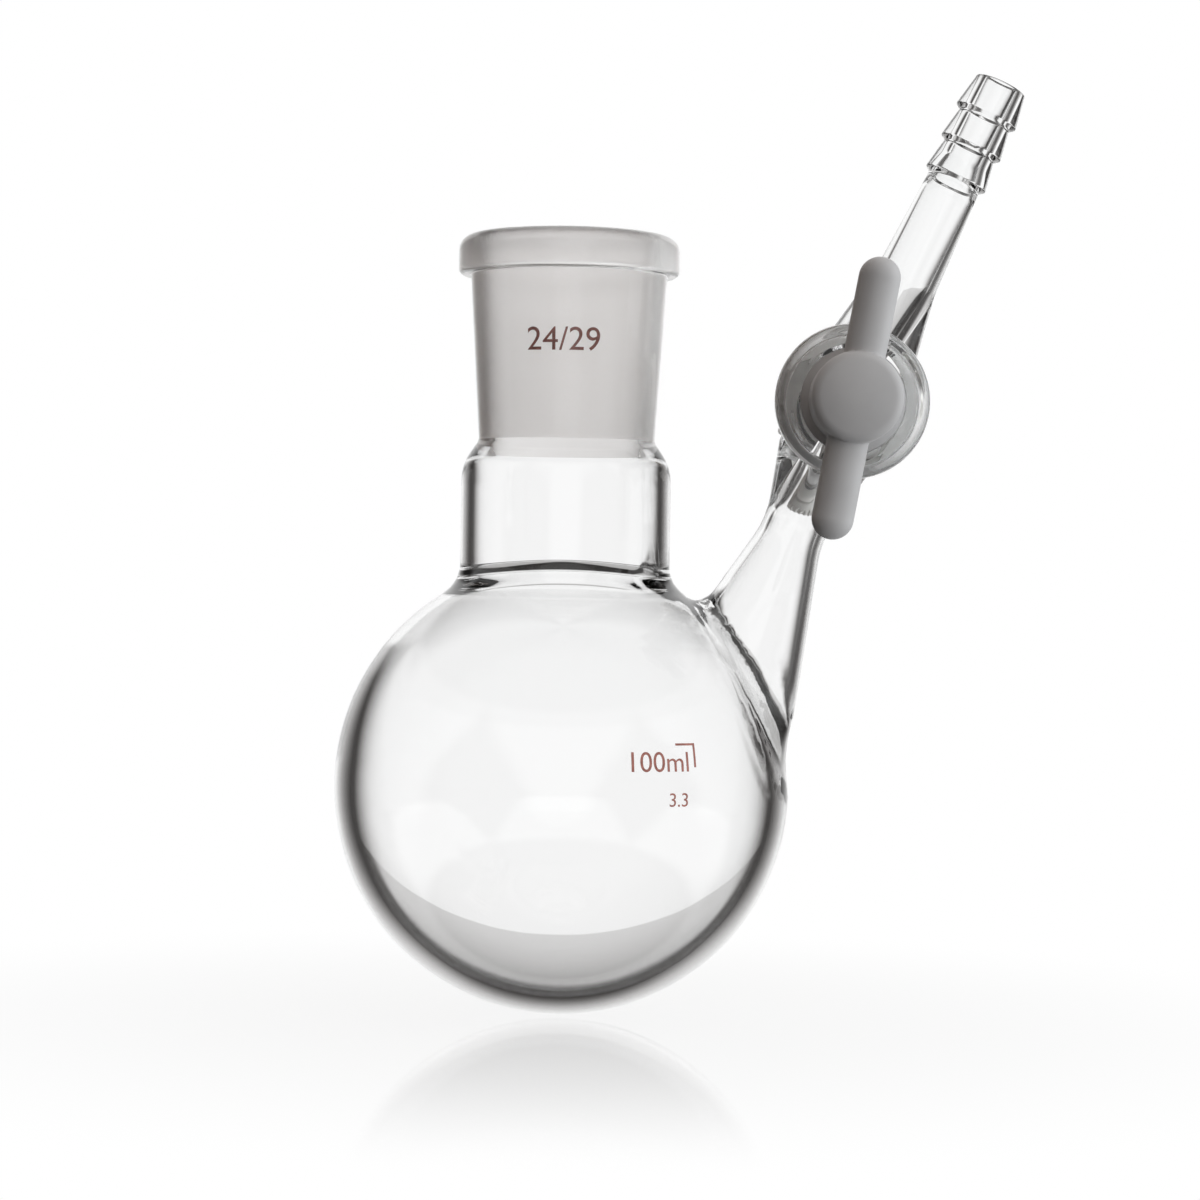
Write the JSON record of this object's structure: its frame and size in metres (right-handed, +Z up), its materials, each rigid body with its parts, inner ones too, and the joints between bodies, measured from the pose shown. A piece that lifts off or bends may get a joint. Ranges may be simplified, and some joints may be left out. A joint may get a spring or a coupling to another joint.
{
  "type": "schlenk flask",
  "caption": "Round-bottomed borosilicate flask with a ground socket neck and a stopcock side arm that ends in a barbed hose nozzle.",
  "frame": {"origin": "on the neck's axis, at the line where a clamp holds the flask, 71 mm above the bulb's lowest point", "axes": "+Z up along the neck's axis and out of the socket; +X towards the side arm; -Y towards the stopcock's handle"},
  "size_m": [0.0959, 0.064, 0.1335],
  "materials": {
    "glass": "clear, fire-polished borosilicate; the socket is finely ground inside",
    "ptfe": "milky, matte fluoropolymer",
    "washer": "matte fluoropolymer",
    "rubber": "matte black rubber",
    "nut": "satin moulded plastic"
  },
  "bodies": {
    "flask": {"glass_body": "glass"},
    "key": {"stopcock_key": "ptfe", "key_washer": "washer", "key_o_ring": "rubber"},
    "nut": {"key_nut": "nut"}
  },
  "joints": [
    {"name": "key_turn", "type": "hinge", "parent": "flask", "child": "key", "pos_m": [0.0391, 0, 0.015], "axis": [0, -1, 0], "continuous": true},
    {"name": "nut_turn", "type": "hinge", "parent": "key", "child": "nut", "pos_m": [0.0391, 0.0235, 0.015], "axis": [0, 1, 0], "range_deg": [0, 90]}
  ]
}
